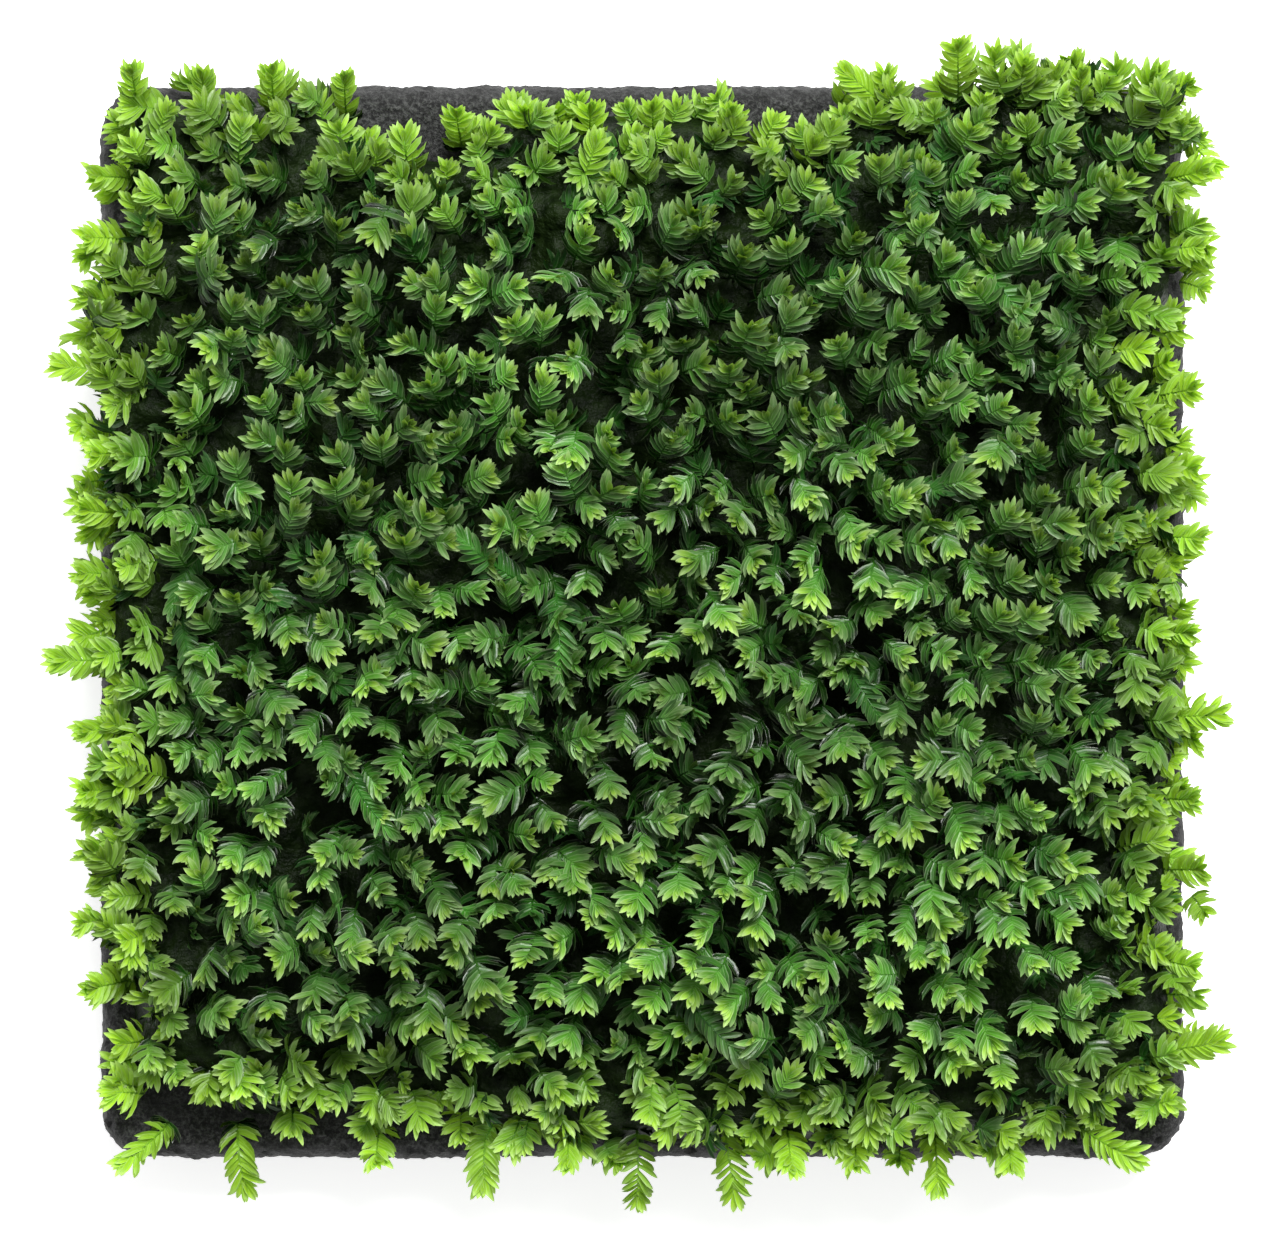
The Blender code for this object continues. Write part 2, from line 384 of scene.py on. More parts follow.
def bladePoints(leaves, places):
    # every leaf's points at once; a blade curls along itself, cups across and bends to one side
    along, across = places[:, 0], places[:, 1]
    curl = np.where(np.abs(leaves["curl"]) < 1e-3, 1e-3, leaves["curl"])[:, None]
    length = leaves["length"][:, None]
    angle = curl * along
    out = length * np.sin(angle) / curl
    rise = length * (1.0 - np.cos(angle)) / curl
    drift = length * leaves["sickle"][:, None] * along ** 2
    half = 0.5 * leaves["width"][:, None] * bladeWidth(along)
    lift = half * (leaves["fold"][:, None] * np.abs(across) + leafShape["cup"] * across ** 2)
    turn = leaves["twist"][:, None] * along
    axis, side, up = (leaves[key][:, None, :] for key in ("axis", "side", "up"))
    bladeUp = up * np.cos(angle)[..., None] - axis * np.sin(angle)[..., None]
    bladeSide = side * np.cos(turn)[..., None] + bladeUp * np.sin(turn)[..., None]
    bladeNormal = bladeUp * np.cos(turn)[..., None] - side * np.sin(turn)[..., None]
    points = leaves["base"][:, None, :] + axis * out[..., None] + up * rise[..., None]
    points = points + side * drift[..., None]
    return points + bladeSide * (half * across)[..., None] + bladeNormal * lift[..., None]


lineSteps = 22


def stemBend(straight):
    share = np.linspace(0.0, 1.0, lineSteps)
    return share, 0.2 * share + 0.8 * smooth((share - straight) / (1.0 - straight))


def stemLine(shoot):
    # places along an arching stem, with its direction, its sideways and its upper side there
    share, bend = stemBend(shoot["straight"])
    pitch = shoot["startPitch"] + (shoot["endPitch"] - shoot["startPitch"]) * bend
    heading = shoot["heading"] + shoot["sway"] * (share - 0.5)
    level = np.stack([np.cos(heading), np.sin(heading), np.zeros(lineSteps)], -1)
    direction = level * np.cos(pitch)[:, None]
    direction[:, 2] = np.sin(pitch)
    middle = (direction[1:] + direction[:-1]) / 2.0
    steps = np.cumsum(middle * shoot["length"] / (lineSteps - 1), 0)
    places = np.concatenate([np.zeros((1, 3)), steps])
    if "tip" in shoot:
        places = places + (np.asarray(shoot["tip"]) - places[-1])
    else:
        places = places + np.asarray(shoot["root"])
    lateral = np.stack([-np.sin(heading), np.cos(heading), np.zeros(lineSteps)], -1)
    face = np.cross(direction, lateral)
    roll = shoot["roll"] * share
    turnedLateral = lateral * np.cos(roll)[:, None] + face * np.sin(roll)[:, None]
    turnedFace = face * np.cos(roll)[:, None] - lateral * np.sin(roll)[:, None]
    return share, places, unit(direction), unit(turnedLateral), unit(turnedFace)


def readAlong(share, at, values):
    return np.stack([np.interp(at, share, values[:, axis]) for axis in range(3)], -1)


shootShape = {
    "leafLength": 1.95 * mm,
    "leafWidth": 0.50 * mm,
    "budSpacing": 0.03 * mm,       # from one leaf to the next, on alternate sides
    "stemSpacing": 0.30 * mm,
    "budLeaves": 22,
    "closedAngle": math.radians(4.0),
    "openAngle": math.radians(84.0),
    "opening": 7.0,                # leaves over which the angle opens
    "youngRise": math.radians(20.0),
    "oldFall": math.radians(-20.0),
    "roll": math.radians(22.0),
    "stemRadius": 0.12 * mm,
}


def shootLeaves(shoot, dice):
    share, places, direction, lateral, face = stemLine(shoot)
    count = shoot["leaves"]
    order = np.arange(count)
    widening = smooth(order / shoot.get("bud", shootShape["budLeaves"]))
    spacing = shootShape["budSpacing"] * (1.0 - widening) + shootShape["stemSpacing"] * widening
    fromTip = np.cumsum(spacing * shoot["spread"] * dice.uniform(0.8, 1.2, count)) - spacing[0]
    at = np.clip(1.0 - fromTip / shoot["length"], 0.02, 1.0)
    base = readAlong(share, at, places)
    along, side, up = (unit(readAlong(share, at, v)) for v in (direction, lateral, face))
    hand = np.where((order + dice.integers(0, 2)) % 2 == 0, 1.0, -1.0)
    opened = 1.0 - np.exp(-order / shootShape["opening"])
    grown = 1.0 - 0.34 * np.exp(-order / 2.2)
    angle = shootShape["closedAngle"] + (shootShape["openAngle"] - shootShape["closedAngle"]) * opened
    angle = angle * shoot["openness"] + dice.normal(0.0, 0.13, count)
    tilt = shootShape["youngRise"] * (1.0 - opened) + shootShape["oldFall"] * opened
    tilt = tilt + shoot["lift"] + dice.normal(0.0, 0.34, count)
    outward = hand[:, None] * side * np.cos(tilt)[:, None] + up * np.sin(tilt)[:, None]
    axis = unit(along * np.cos(angle)[:, None] + outward * np.sin(angle)[:, None])
    leafUp = unit(up - axis * np.sum(up * axis, -1, keepdims=True))
    leafSide = np.cross(leafUp, axis)
    roll = hand * shootShape["roll"] * (0.3 + 0.7 * opened) + dice.normal(0.0, 0.16, count)
    rolledSide = leafSide * np.cos(roll)[:, None] + leafUp * np.sin(roll)[:, None]
    rolledUp = leafUp * np.cos(roll)[:, None] - leafSide * np.sin(roll)[:, None]
    forward = np.sign(np.sum(rolledSide * along, -1))
    size = shoot["size"] * grown * dice.uniform(0.82, 1.12, count)
    return {
        "base": base, "axis": axis, "side": rolledSide, "up": rolledUp,
        "length": shootShape["leafLength"] * size,
        "width": shootShape["leafWidth"] * size ** 0.5 * dice.uniform(0.88, 1.14, count),
        "curl": 0.5 * (1.0 - opened) - 0.55 * opened + dice.normal(0.0, 0.16, count),
        "sickle": forward * (0.26 * opened - 0.04 + dice.normal(0.0, 0.06, count)),
        "fold": 0.34 + dice.normal(0.0, 0.07, count),
        "twist": dice.normal(0.0, 0.2, count),
        "age": np.clip(shoot["age"] + shoot["ageing"] * (order / 24.0) ** 1.6, 0.0, 1.0),
        "tint": np.full(count, shoot["tint"]),
        "painted_glow": np.full(count, shoot["painted_glow"]),
        "seed": dice.uniform(0.0, 1.0, count),
        "fine": order < shoot["fineLeaves"],
    }


stemMesh = {"sides": 5, "rings": 7}


def stemTube(shoot):
    share, places, direction, lateral, face = stemLine(shoot)
    at = np.linspace(0.0, 1.0, stemMesh["rings"])
    centre = readAlong(share, at, places)
    side, up = (unit(readAlong(share, at, v)) for v in (lateral, face))
    radius = shootShape["stemRadius"] * shoot["size"] * (1.25 - 0.75 * at)
    turn = np.linspace(0.0, 2.0 * np.pi, stemMesh["sides"], endpoint=False)
    ring = side[:, None, :] * np.cos(turn)[:, None] + up[:, None, :] * np.sin(turn)[:, None]
    return (centre[:, None, :] + ring * radius[:, None, None]).reshape(-1, 3)


def tubeGrid():
    sides, rings = stemMesh["sides"], stemMesh["rings"]
    quads = []
    for ring in range(rings - 1):
        for side in range(sides):
            first = ring * sides + side
            beside = ring * sides + (side + 1) % sides
            quads.append((first, beside, beside + sides, first + sides))
    foot = tuple(range(sides))[::-1]
    head = tuple(range((rings - 1) * sides, rings * sides))
    places = [(side / sides, ring / (rings - 1)) for ring in range(rings) for side in range(sides)]
    return np.array(places), np.array(quads), np.array([foot, head])


tubePlaces, tubeQuads, tubeCaps = tubeGrid()


class Bundle:
    # gathers many small shapes into one mesh, each with its own cell of the bake map
    def __init__(self):
        self.points, self.places, self.lives, self.faces, self.maps = [], [], [], {}, []
        self.count = 0
        self.cell = 0

    def add(self, points, places, lifeAndGlow, faceBlocks, inCell):
        # points (shapes, points, 3); the rest is laid out the same way
        shapes, size = points.shape[:2]
        starts = self.count + np.arange(shapes)[:, None, None] * size
        for block in faceBlocks:
            self.faces.setdefault(block.shape[1], []).append((starts + block).reshape(-1, block.shape[1]))
        self.points.append(points.reshape(-1, 3))
        self.places.append(places.reshape(-1, 3))
        self.lives.append(lifeAndGlow.reshape(-1, 3))
        cells = np.repeat(self.cell + np.arange(shapes), size)
        self.maps.append((cells, np.tile(inCell, (shapes, 1))))
        self.count += shapes * size
        self.cell += shapes

    def addBlades(self, leaves, grid):
        places, quads, tips = grid
        points = bladePoints(leaves, places)
        spot = np.empty(points.shape)
        spot[..., 0] = places[:, 1]
        spot[..., 1] = places[:, 0]
        spot[..., 2] = leaves["seed"][:, None]
        # each leaf's age, tint and painted glow
        lifeAndGlow = np.empty(points.shape)
        for axis, key in enumerate(("age", "tint", "painted_glow")):
            lifeAndGlow[..., axis] = leaves[key][:, None]
        inCell = np.stack([places[:, 1] * 0.5 + 0.5, places[:, 0]], -1)
        self.add(points, spot, lifeAndGlow, [quads, tips], inCell)

    def addStem(self, shoot):
        points = stemTube(shoot)[None]
        spot = np.full(points.shape, 0.5)
        spot[..., 1] = 0.0
        lifeAndGlow = np.empty(points.shape)
        lifeAndGlow[..., 0] = np.clip(0.30 + 0.55 * (1.0 - tubePlaces[:, 1]) + shoot["age"] * 0.5, 0.0, 1.0)
        lifeAndGlow[..., 1] = shoot["tint"]
        # the stem takes part of its shoot's painted glow
        lifeAndGlow[..., 2] = shoot["painted_glow"] * 0.6
        self.add(points, spot, lifeAndGlow, [tubeQuads, tubeCaps], tubePlaces)

    def mesh(self, name, material):
        columns = math.ceil(math.sqrt(self.cell * 3.0))   # cells three times as high as wide
        rows = math.ceil(self.cell / columns)
        margin = 0.08
        maps = []
        for cells, inCell in self.maps:
            corner = np.stack([cells % columns, cells // columns], -1)
            maps.append((corner + margin + inCell * (1.0 - 2.0 * margin)) / (columns, rows))
        faces = [np.concatenate(blocks) for blocks in self.faces.values()]
        vectors = {"leafPlace": np.concatenate(self.places), "leafLife": np.concatenate(self.lives)}
        return makeMesh(name, np.concatenate(self.points), faces, material, vectors, np.concatenate(maps))


def growShoots(name, shoots, dice):
    bundle = Bundle()
    batches = [shootLeaves(shoot, dice) for shoot in shoots]
    leaves = {key: np.concatenate([batch[key] for batch in batches]) for key in batches[0]}
    for fine, grid in ((True, fineBlade), (False, plainBlade)):
        chosen = leaves["fine"] == fine
        if chosen.any():
            bundle.addBlades({key: values[chosen] for key, values in leaves.items()}, grid)
    for shoot in shoots:
        bundle.addStem(shoot)
    return bundle.mesh(name, leafMaterial)


def settle(piece, slotName, *nodes):
    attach(piece, "root")
    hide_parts(*nodes)


# carpet

carpet = {
    "seed": 7,
    "spacing": 2.84 * mm,
    "jitter": 0.23,                    # share of the spacing
    "parting": ((-26.0 * mm, 2.0 * mm), (14.0 * mm, 13.0 * mm)),   # the shoots lean away from this line
    "startPitch": math.radians(86.0),
    "straight": 0.76,
    "rows": 8,
    "missing": 0.03,
    "edgeBand": 8 * mm,                # shoots this near the outline droop and get a painted glow
    "edgeDrop": 1.0 * mm,
    "heightScatter": 2.8 * mm,
    "lean": (44.0, 12.0, 4.0, 9.0),    # end pitch in degrees, less at the edge, less far out, scatter
    "leaves": 25,
    "fineLeaves": 11,
    "drift": (1.5, 55),                # turn in radians, and how close together the drifts are
    "strays": (0.45, 0.42),            # share near the parting, and how much less far out
    "loose": (0.72, 1.9),              # scatter of the headings in radians, and of the strays'
    "corners": {"northWest": 53.5 * mm, "southWest": 50.5 * mm, "southEast": 51.0 * mm},
}

# how far the outermost shoots stay in from each side of the tile, and the barer stretches
# there: (middle along the side, half its length, how much further in), in mm
outline = {
    "north": (1.4, [(-5.0, 24.0, 1.4), (-17.0, 6.5, 3.4), (10.5, 5.0, 2.4), (30.0, 14.0, -1.9)]),
    "east": (1.0, [(18.0, 5.0, 1.0), (-37.0, 7.0, 1.5), (31.0, 8.0, -1.4)]),
    "south": (1.8, [(-37.0, 10.0, 4.6), (-20.0, 14.0, 2.2), (34.0, 8.0, 2.2)]),
    "west": (0.5, [(-33.0, 12.0, 2.6), (33.0, 8.0, 2.2)]),
}

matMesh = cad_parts["moss_mat"].data
matTree = bvhtree.BVHTree.FromPolygons(
    [vertex.co for vertex in matMesh.vertices], [face.vertices for face in matMesh.polygons])


def carpetTop(x, y):
    hit = matTree.ray_cast(Vector((x, y, 1.0)), Vector((0.0, 0.0, -1.0)))[0]
    return hit.z if hit is not None else tileTop + 8.0 * mm


def ruffle(x, y, scale, seed):
    return noise.noise(Vector((x * scale, y * scale, seed)))


def sideInset(side, place):
    inset, stretches = outline[side]
    for middle, half, deeper in stretches:
        inset += deeper * smooth(1.6 - 1.6 * abs(place / mm - middle) / half)
    return inset * mm


def carpetRoom(x, y):
    # how far inside the carpet's outline a place is; below 0 is outside
    east = tileHalf[0] - x - sideInset("east", y)
    west = tileHalf[0] + x - sideInset("west", y)
    north = tileHalf[1] - y - sideInset("north", x)
    south = tileHalf[1] + y - sideInset("south", x)
    corners = carpet["corners"]
    diagonal = math.sqrt(0.5)
    southEast = corners["southEast"] - (x - y) * diagonal
    southWest = corners["southWest"] + (x + y) * diagonal
    northWest = corners["northWest"] - (y - x) * diagonal
    wobble = 0.6 * mm * ruffle(x, y, 180, 3.0)
    return min(east, west, north, south, southEast, southWest, northWest) + wobble


def stemLength(height, endPitch):
    # the length that carries a stem's tip to this height
    bend = stemBend(carpet["straight"])[1]
    pitch = carpet["startPitch"] + (endPitch - carpet["startPitch"]) * bend
    return height / np.sin(pitch).mean()


def hexPlaces(spacing, jitter, dice):
    rowStep = spacing * math.sqrt(3.0) / 2.0
    rows = int(tileHalf[1] / rowStep) + 1
    columns = int(tileHalf[0] / spacing) + 1
    for row in range(-rows, rows + 1):
        for column in range(-columns, columns + 1):
            x = (column + 0.5 * (row % 2)) * spacing + dice.normal(0.0, jitter) * spacing
            y = row * rowStep + dice.normal(0.0, jitter) * spacing
            yield x, y


def leanAt(x, y, dice):
    # the way a shoot leans: away from the parting, in drifts, with some strays
    first, last = (np.array(end) for end in carpet["parting"])
    line = last - first
    share = np.clip(np.dot((x, y) - first, line) / np.dot(line, line), 0.0, 1.0)
    away = (x, y) - (first + share * line)
    reach = math.hypot(*away)
    turn, closeness = carpet["drift"]
    heading = math.atan2(away[1], away[0]) + turn * ruffle(x, y, closeness, 9.0)
    near, fewer = carpet["strays"]
    stray = dice.uniform() < near - fewer * smooth(reach / (42 * mm))
    loose = carpet["loose"][int(stray)]
    return heading + loose * dice.normal(), reach


def topShoots():
    dice = np.random.default_rng(carpet["seed"])
    shoots = []
    for x, y in hexPlaces(carpet["spacing"], carpet["jitter"], dice):
        room = carpetRoom(x, y)
        if room < 0 or dice.uniform() < carpet["missing"]:
            continue
        heading, reach = leanAt(x, y, dice)
        edge = float(smooth((carpet["edgeBand"] - room) / carpet["edgeBand"]))
        height = carpetTop(x, y) - tileTop + (dice.uniform() - 0.75) * carpet["heightScatter"]
        height -= edge * carpet["edgeDrop"]
        upright, edgeLean, farLean, scatter = carpet["lean"]
        lean = upright - edgeLean * edge - farLean * smooth(reach / (45 * mm)) + dice.normal(0.0, scatter)
        endPitch = math.radians(lean)
        shoots.append({
            "tip": (x, y, tileTop + height), "heading": heading, "sway": dice.normal(0.0, 0.25),
            "startPitch": carpet["startPitch"], "endPitch": endPitch, "straight": carpet["straight"],
            "roll": dice.normal(0.0, 0.35), "length": stemLength(height, endPitch),
            "leaves": carpet["leaves"], "fineLeaves": carpet["fineLeaves"], "size": dice.uniform(0.74, 1.1),
            "spread": dice.uniform(0.85, 1.15), "openness": dice.uniform(0.72, 1.08),
            "lift": dice.normal(0.08, 0.2),
            "age": 0.14 * dice.uniform() ** 1.5 + 0.4 * max(0.0, ruffle(x, y, 70, 31.0)),
            "ageing": dice.uniform(1.0, 1.5),
            "tint": min(max(0.5 + 0.9 * ruffle(x, y, 60, 21.0) + dice.uniform(-0.4, 0.4), 0.0), 1.0),
            # painted glow, strongest near the carpet's outline
            "painted_glow": 0.06 + 0.58 * edge * dice.uniform(0.3, 1.0),
        })
    return shoots


understory = {"spacing": 3.3 * mm, "jitter": 0.25, "drop": (2.2 * mm, 5.0 * mm), "leaves": 16}


def lowShoots():
    dice = np.random.default_rng(carpet["seed"] + 1)
    shoots = []
    for x, y in hexPlaces(understory["spacing"], understory["jitter"], dice):
        room = carpetRoom(x, y)
        if room < 0.3 * mm:
            continue
        heading = leanAt(x, y, dice)[0] + dice.normal(0.0, 0.6)
        height = carpetTop(x, y) - tileTop - dice.uniform(*understory["drop"])
        endPitch = math.radians(dice.uniform(30.0, 75.0))
        shoots.append({
            "tip": (x, y, tileTop + height), "heading": heading, "sway": dice.normal(0.0, 0.4),
            "startPitch": carpet["startPitch"], "endPitch": endPitch, "straight": carpet["straight"],
            "roll": dice.normal(0.0, 0.5), "length": stemLength(height, endPitch),
            "leaves": understory["leaves"], "fineLeaves": 0, "size": dice.uniform(0.8, 1.1),
            "spread": 1.5, "openness": dice.uniform(0.9, 1.2), "lift": 0.0,
            "age": dice.uniform(0.38, 0.7), "ageing": 0.6, "tint": dice.uniform(), "painted_glow": 0.0,
        })
    return shoots


fringe = {
    "seed": 21,
    "step": 1.45 * mm,
    "depth": (-1.7 * mm, 2.2 * mm),    # in from the carpet's outline
    "height": (1.4 * mm, 8.0 * mm),    # above the tile
    "start": 3.0 * mm,                 # outside the tile, from where a place is looked for
    "back": 0.2 * mm,                  # from one try to the next
    "tries": 60,
    "leaves": 24,
    "fineLeaves": 12,
    # painted glow, set per side: strongest on the east and west, weakest on the south
    "painted_glow": {"east": (0.5, 0.95), "north": (0.15, 0.65), "west": (0.45, 0.9), "south": (0.1, 0.45)},
}


def fringeShoots():
    # small shoots that lean out all round the carpet, brightened with a painted glow
    dice = np.random.default_rng(fringe["seed"])
    shoots = []
    for side, turn in (("east", 0.0), ("north", 0.5), ("west", 1.0), ("south", 1.5)):
        facing = np.array([math.cos(turn * math.pi), math.sin(turn * math.pi)])
        beside = np.array([-facing[1], facing[0]])
        for step in range(-27, 28):
            along = (step + dice.uniform(-0.4, 0.4)) * fringe["step"]
            depth = dice.uniform(*fringe["depth"])
            tries = [beside * along + facing * (tileHalf[0] + fringe["start"] - back * fringe["back"])
                     for back in range(fringe["tries"])]
            spot = next((place for place in tries if carpetRoom(*place) >= depth), None)
            if spot is None:
                continue
            inner = smooth((depth + 1.2 * mm) / (3.5 * mm))
            height = fringe["height"][0] + (fringe["height"][1] - fringe["height"][0]) * (
                0.55 * inner + 0.45 * dice.uniform())
            endPitch = math.radians(dice.uniform(12.0, 48.0))
            shoots.append({
                "tip": (*spot, tileTop + height), "heading": turn * math.pi + dice.normal(0.0, 0.5),
                "sway": dice.normal(0.0, 0.3), "startPitch": carpet["startPitch"],
                "endPitch": endPitch, "straight": 0.3, "roll": dice.normal(0.0, 0.35),
                "length": stemLength(height, endPitch), "leaves": fringe["leaves"],
                "fineLeaves": fringe["fineLeaves"], "size": dice.uniform(0.7, 1.05),
                "spread": min(1.0, height / (3.5 * mm)), "openness": dice.uniform(0.75, 1.1),
                "lift": dice.normal(0.1, 0.15), "age": 0.05 * dice.uniform(),
                "ageing": dice.uniform(0.5, 0.9), "tint": dice.uniform(0.3, 1.0),
                "painted_glow": dice.uniform(*fringe["painted_glow"][side]),
            })
    return shoots


oldFronds = {
    "seed": 60,
    "leaves": 44,
    "length": 11.0 * mm,
    # where each flat old frond ends, in mm, and the way it points, in degrees
    "places": [
        (-6.0, -3.5, -82), (-34.0, 1.0, -125), (-31.5, -5.0, -80), (22.0, 36.0, 84), (20.5, 27.0, -88),
        (17.5, -7.5, -60), (-4.0, -34.0, -15), (7.0, -31.0, -50), (-3.0, 33.0, 55), (27.0, 22.0, -40),
        (-18.0, -15.0, -62), (31.0, -20.0, -20), (-13.0, 6.0, 150), (-22.0, -29.0, 200), (34.0, 6.0, 10),
    ],
}


def frondShoots():
    dice = np.random.default_rng(oldFronds["seed"])
    shoots = []
    for x, y, heading in oldFronds["places"]:
        x, y = x * mm, y * mm
        shoots.append({
            "tip": (x, y, carpetTop(x, y) - 0.9 * mm), "heading": math.radians(heading),
            "sway": dice.normal(0.0, 0.4), "startPitch": math.radians(75.0),
            "endPitch": math.radians(dice.uniform(0.0, 16.0)), "straight": 0.0,
            "roll": dice.normal(0.0, 0.2), "length": oldFronds["length"],
            "leaves": oldFronds["leaves"], "fineLeaves": oldFronds["leaves"], "bud": 3,
            "size": dice.uniform(0.7, 0.9), "spread": 0.66, "openness": dice.uniform(0.65, 0.85),
            "lift": 0.0, "age": dice.uniform(0.36, 0.50), "ageing": 0.2, "tint": dice.uniform(),
            "painted_glow": 0.0,
        })
    return shoots


def makeCarpet():
    shoots = topShoots() + lowShoots() + fringeShoots() + frondShoots()
    edges = np.linspace(-tileHalf[1], tileHalf[1], carpet["rows"] + 1)
    edges[0] -= 1.0
    edges[-1] += 1.0
    for row in range(carpet["rows"]):
        inRow = [shoot for shoot in shoots if edges[row] <= shoot["tip"][1] < edges[row + 1]]
        dice = np.random.default_rng(carpet["seed"] + 100 + row)
        piece = growShoots(f"carpet_row_{row + 1}", inRow, dice)
        settle(piece, "moss_carpet", "moss_mat")
        print("carpet row", row + 1, len(inRow), "shoots", triangleCount(piece), "triangles")


makeCarpet()


# edge shoots

edgeShoots = {"seed": 40, "leaves": 42, "fineLeaves": 26, "bud": 30}


def nodeLine(node):
    # the root and the tip of a CAD shoot
    points = np.array([vertex.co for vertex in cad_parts[node].data.vertices])
    root = points[points[:, 2] < points[:, 2].min() + 0.35 * mm].mean(0)
    tip = points[np.argmax(np.linalg.norm(points - root, axis=1))]
    return root, tip


def makeEdgeShoots():
    names = sorted(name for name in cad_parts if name.startswith("shoot_"))
    for number, node in enumerate(names):
        dice = np.random.default_rng(edgeShoots["seed"] + number)
        root, tip = nodeLine(node)
        chord = tip - root
        reach = np.linalg.norm(chord)
        slope = math.atan2(chord[2], math.hypot(chord[0], chord[1]))
        startPitch = math.radians(84.0)
        shoot = {
            "root": root - np.array([0.0, 0.0, 0.3 * mm]), "heading": math.atan2(chord[1], chord[0]),
            "sway": dice.normal(0.0, 0.15), "startPitch": startPitch,
            "endPitch": max(2.0 * slope - startPitch, math.radians(-28.0)),
            "straight": 0.1, "roll": dice.uniform(-0.4, 0.4), "length": reach - 1.5 * mm,
            "bud": edgeShoots["bud"],
            "leaves": edgeShoots["leaves"], "fineLeaves": edgeShoots["fineLeaves"],
            "size": dice.uniform(0.8, 1.0), "spread": 1.0, "openness": dice.uniform(0.5, 0.76),
            "lift": 0.3, "age": 0.0, "ageing": 0.6, "tint": dice.uniform(0.4, 1.0),
            # strong painted glow, as if lit through from behind
            "painted_glow": dice.uniform(0.6, 0.95),
        }
        piece = growShoots("frond_" + node[6:], [shoot], dice)
        settle(piece, "edge_shoots", node)
    print("edge shoots", len(names))


makeEdgeShoots()


# thatch under the leaves

bed = {
    "cells": 130,
    "inset": 1.6 * mm,         # in from the tile's edge
    "height": 4.6 * mm,
    "lumps": 1.5 * mm,
    "lumpScale": 420,
    "fine": 0.35 * mm,
    "fineScale": 2100,
    "slope": 3.0 * mm,         # width over which it rises at the carpet's outline
    "sunk": 0.9 * mm,          # under the tile's bare top
    "foot": 1.3 * mm,
}


def makeBed():
    count = bed["cells"]
    side = np.linspace(-1.0, 1.0, count + 1)
    halfX, halfY = tileHalf[0] - bed["inset"], tileHalf[1] - bed["inset"]
    points = []
    for v in side:
        for u in side:
            x, y = u * halfX, v * halfY
            room = carpetRoom(x, y)
            cover = smooth(room / bed["slope"] + 0.35)
            lump = noise.fractal(Vector((x, y, 0.0)) * bed["lumpScale"], 1.0, 2.1, 4)
            fine = noise.noise(Vector((x, y, 0.0)) * bed["fineScale"])
            height = cover * (bed["height"] + bed["lumps"] * lump + bed["fine"] * fine)
            points.append((x, y, tileTop + max(height, 0.0) - (1.0 - cover) ** 2 * bed["sunk"]))
    points = np.array(points)
    index = np.arange((count + 1) ** 2).reshape(count + 1, count + 1)
    quads = np.stack([index[:-1, :-1], index[:-1, 1:], index[1:, 1:], index[1:, :-1]], -1).reshape(-1, 4)
    ring = np.concatenate([index[0, :], index[1:, -1], index[-1, -2::-1], index[-2:0:-1, 0]])
    foot = points[ring].copy()
    foot[:, 2] = tileTop - bed["foot"]
    base = len(points)
    turn = np.arange(len(ring))
    following = (turn + 1) % len(ring)
    walls = np.stack([ring[turn], base + turn, base + following, ring[following]], -1)
    floorFace = (base + turn)[None, ::-1]
    piece = makeMesh("thatch", np.concatenate([points, foot]), [quads, walls, floorFace], bedMaterial)
    settle(piece, "moss_carpet", "moss_mat")
    print("thatch", triangleCount(piece), "triangles")


makeBed()


# tile

tile = {
    "corner": 3.7 * mm,
    "rounding": 1.8 * mm,
    "around": 960,
    "band": 8.0 * mm,          # finely meshed band on top, in from the edge
    "step": 0.34 * mm,
    "grain": 0.17 * mm,
    "grainScale": 1700,
    "pits": 0.30 * mm,
    "pitScale": 1450,
    "pitLevel": 0.24,          # higher leaves fewer pits
    "wave": 0.18 * mm,
    "waveScale": 330,
    "under": 0.12 * mm,        # the mean surface lies this far inside the tile's box
    "arc": 8,
    "innerRings": (0.75, 0.5, 0.25),
    "sunk": 0.1 * mm,          # the plain middle, hidden under the bed
}


def outlinePoints(count):
    # even steps round the tile's rounded edge, with their outward directions
    radius = tile["corner"]
    halfX, halfY = tileHalf
    straightX, straightY = 2 * (halfX - radius), 2 * (halfY - radius)
    quarter = math.pi * radius / 2
    total = 2 * straightX + 2 * straightY + 4 * quarter
    corners = (
        (halfX - radius, halfY - radius, 0.0, straightX),
        (-(halfX - radius), halfY - radius, 0.5, straightY),
        (-(halfX - radius), -(halfY - radius), 1.0, straightX),
        (halfX - radius, -(halfY - radius), 1.5, straightY),
    )
    points, normals = [], []
    for k in range(count):
        left = total * k / count
        for cx, cy, start, run in corners:
            turn = start + 0.5 * min(left / quarter, 1.0)
            onward = left - quarter
            if onward < run:
                normal = (math.cos(turn * math.pi), math.sin(turn * math.pi))
                slide = max(onward, 0.0)
                points.append((cx + radius * normal[0] - normal[1] * slide,
                               cy + radius * normal[1] + normal[0] * slide))
                normals.append(normal)
                break
            left = onward - run
    return np.array(points), np.array(normals)


def tileProfile():
    # (inset, height, outward share, upward share) from the top band down to the underside
    steps = []
    inset = tile["band"]
    while inset > tile["rounding"]:
        steps.append((inset, tileTop, 0.0, 1.0))
        inset -= tile["step"]
    arc = tile["arc"]
    for k in range(arc + 1):
        angle = math.pi / 2 * (1.0 - k / arc)
        out = tile["rounding"] * (1.0 - math.cos(angle))
        height = tileTop - tile["rounding"] * (1.0 - math.sin(angle))
        steps.append((out, height, math.cos(angle), math.sin(angle)))
    height = tileTop - tile["rounding"] - tile["step"]
    while height > tile["rounding"]:
        steps.append((0.0, height, 1.0, 0.0))
        height -= tile["step"]
    for k in range(arc + 1):
        angle = math.pi / 2 * k / arc
        out = tile["rounding"] * (1.0 - math.cos(angle))
        height = tile["rounding"] * (1.0 - math.sin(angle))
        steps.append((out, height, math.cos(angle), -math.sin(angle)))
    return steps


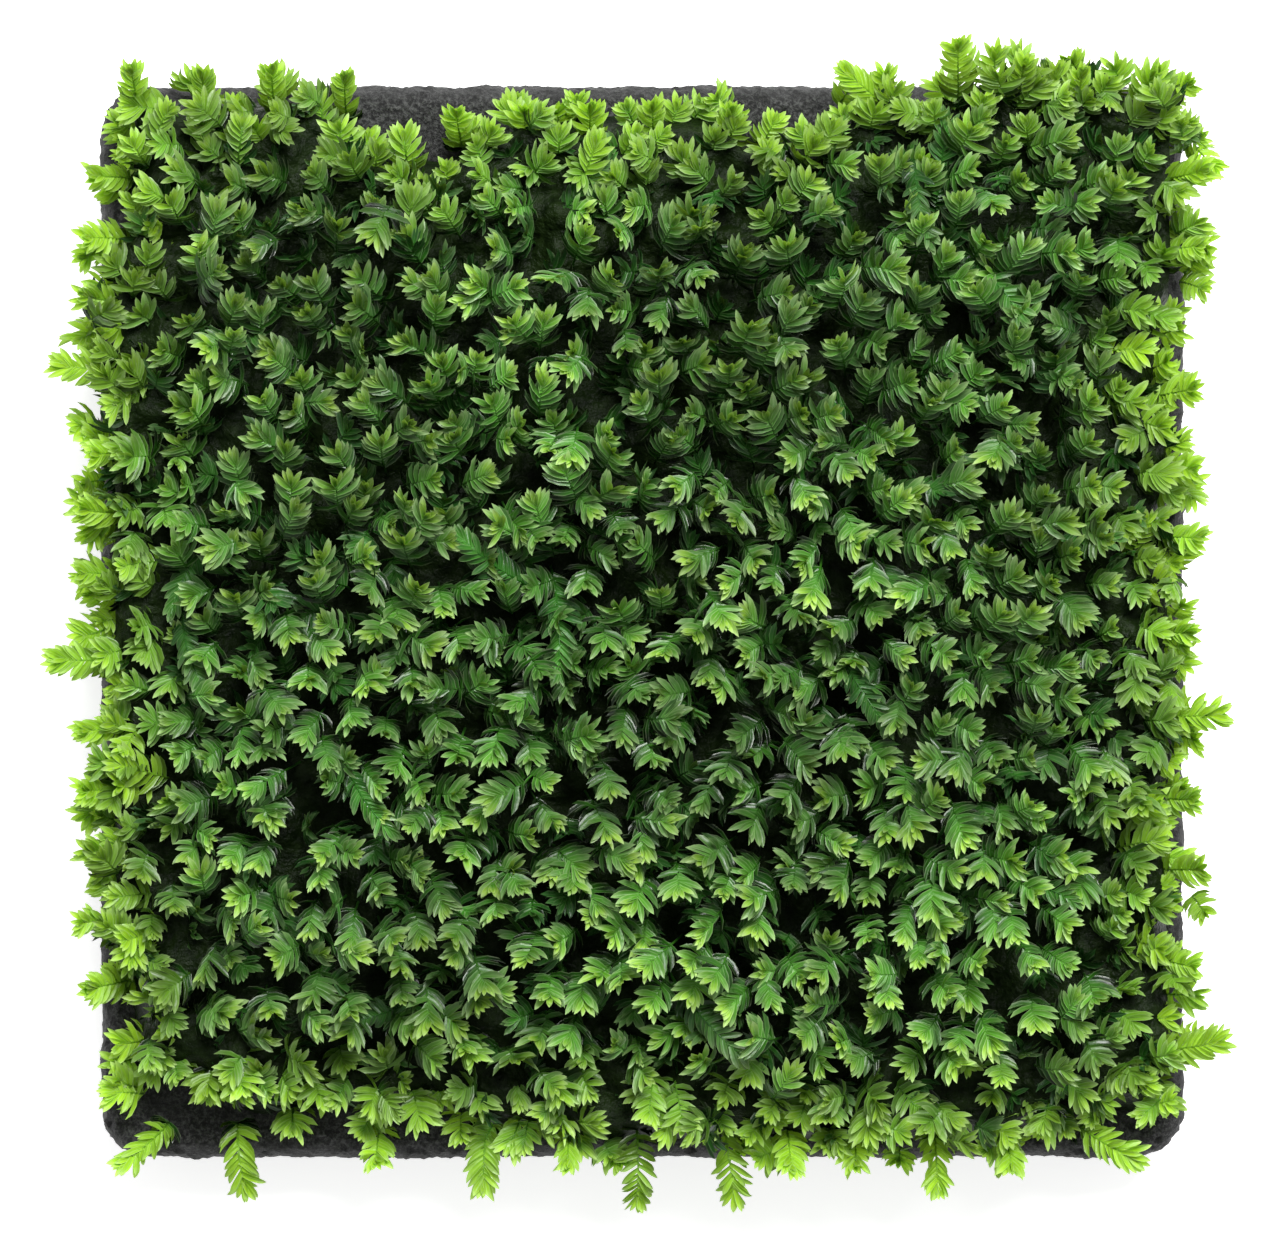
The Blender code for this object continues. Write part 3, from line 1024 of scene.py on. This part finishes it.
def makeTile():
    border, outward = outlinePoints(tile["around"])
    turned = tile["corner"] * 0.98
    rings, places = [], []
    for inset, height, out, up in tileProfile():
        flat = border - outward * min(inset, turned)
        if inset > turned:
            flat = flat * ((tileHalf[0] - inset) / (tileHalf[0] - turned))
        ring = np.concatenate([flat, np.full((len(flat), 1), height)], -1)
        normal = np.concatenate([outward * out, np.full((len(flat), 1), up)], -1)
        rim = min(max(out * 1.2, 0.0), 1.0) if up >= 0 else 0.6
        spot = np.empty((len(flat), 3))
        for k, point in enumerate(ring):
            at = Vector(point)
            coarse = noise.fractal(at * tile["waveScale"], 1.0, 2.0, 2)
            grain = noise.fractal(at * tile["grainScale"], 0.7, 2.0, 3)
            # pits are dug into the surface, and their darkening in the finish is painted shade
            pit = noise.noise(at * tile["pitScale"] + Vector((7, 3, 1)))
            hole = max(0.0, pit - tile["pitLevel"]) * 2.0
            depth = tile["wave"] * coarse + tile["grain"] * grain - tile["pits"] * hole - tile["under"]
            if height < 1.0 * mm:
                depth = min(depth, 0.0) * smooth(height / (1.0 * mm))   # the underside stays flat
            ring[k] += normal[k] * depth
            # inward from the edge the top turns wet and dark: partly real wetness, partly painted shade
            # under the moss
            wetAndShade = smooth((inset - 1.0 * mm) / (4 * mm)) * (0.6 + 0.8 * coarse)
            spot[k] = (rim, min(max(wetAndShade, 0.0), 1.0), hole)
        rings.append(ring)
        places.append(spot)
    for share in tile["innerRings"]:
        shrunk = rings[0].copy()
        shrunk[:, :2] *= share
        shrunk[:, 2] = tileTop - tile["sunk"]
        rings.insert(0, shrunk)
        places.insert(0, places[0])
    count = len(border)
    around = np.arange(count)
    beside = (around + 1) % count
    starts = [level * count for level in range(len(rings))]
    quads = np.concatenate([
        np.stack([a + around, b + around, b + beside, a + beside], -1) for a, b in zip(starts, starts[1:])])
    topCap = around[None, :]
    bottomCap = (starts[-1] + around)[None, ::-1]
    piece = makeMesh("ceramic_tile", np.concatenate(rings), [quads, topCap, bottomCap], tileMaterial,
                     {"tilePlace": np.concatenate(places)})
    settle(piece, "black_porous_ceramic", "tile")
    print("tile", triangleCount(piece), "triangles")


makeTile()


# floor and light

light = {
    "world": 0.55,
    "key": 7.0,
    "keySize": 0.30,
    "keyPlace": (0.10, 0.32, 0.52),
    "floorHalf": 1.5,
    "floorDrop": 0.2 * mm,
    "floorGlow": 0.60,
}


def makeStage():
    finish = Finish("pale_floor")
    body = finish.node("BsdfPrincipled", sockets={
        "Base Color": (0.9, 0.9, 0.9, 1.0), "Roughness": 0.9, "Specular IOR Level": 0.1,
        "Emission Color": (1.0, 1.0, 1.0, 1.0), "Emission Strength": light["floorGlow"]})
    material = finish.show(finish.wire(body))
    half = light["floorHalf"]
    corners = ((-half, -half), (half, -half), (half, half), (-half, half))
    points = [(x, y, -light["floorDrop"]) for x, y in corners]
    floor = makeMesh("floor", np.array(points), [np.array([[0, 1, 2, 3]])], material)
    world = bpy.data.worlds.new("soft_white")
    bpy.context.scene.world = world
    world.use_nodes = True
    background = world.node_tree.nodes["Background"]
    background.inputs["Color"].default_value = (1.0, 1.0, 1.0, 1.0)
    background.inputs["Strength"].default_value = light["world"]
    lamp = bpy.data.lights.new("key", "AREA")
    lamp.shape = "DISK"
    lamp.size = light["keySize"]
    lamp.energy = light["key"]
    key = bpy.data.objects.new("key", lamp)
    key.location = light["keyPlace"]
    key.rotation_euler = (Vector((0, 0, 0)) - key.location).to_track_quat("-Z", "Y").to_euler()
    bpy.context.scene.collection.objects.link(key)
    scene = bpy.context.scene
    scene.view_settings.view_transform = "Standard"
    scene.cycles.max_bounces = 6           # light dies away quickly between the leaves
    scene.cycles.diffuse_bounces = 3
    scene.cycles.glossy_bounces = 2
    scene.cycles.transmission_bounces = 3


makeStage()

print("done")
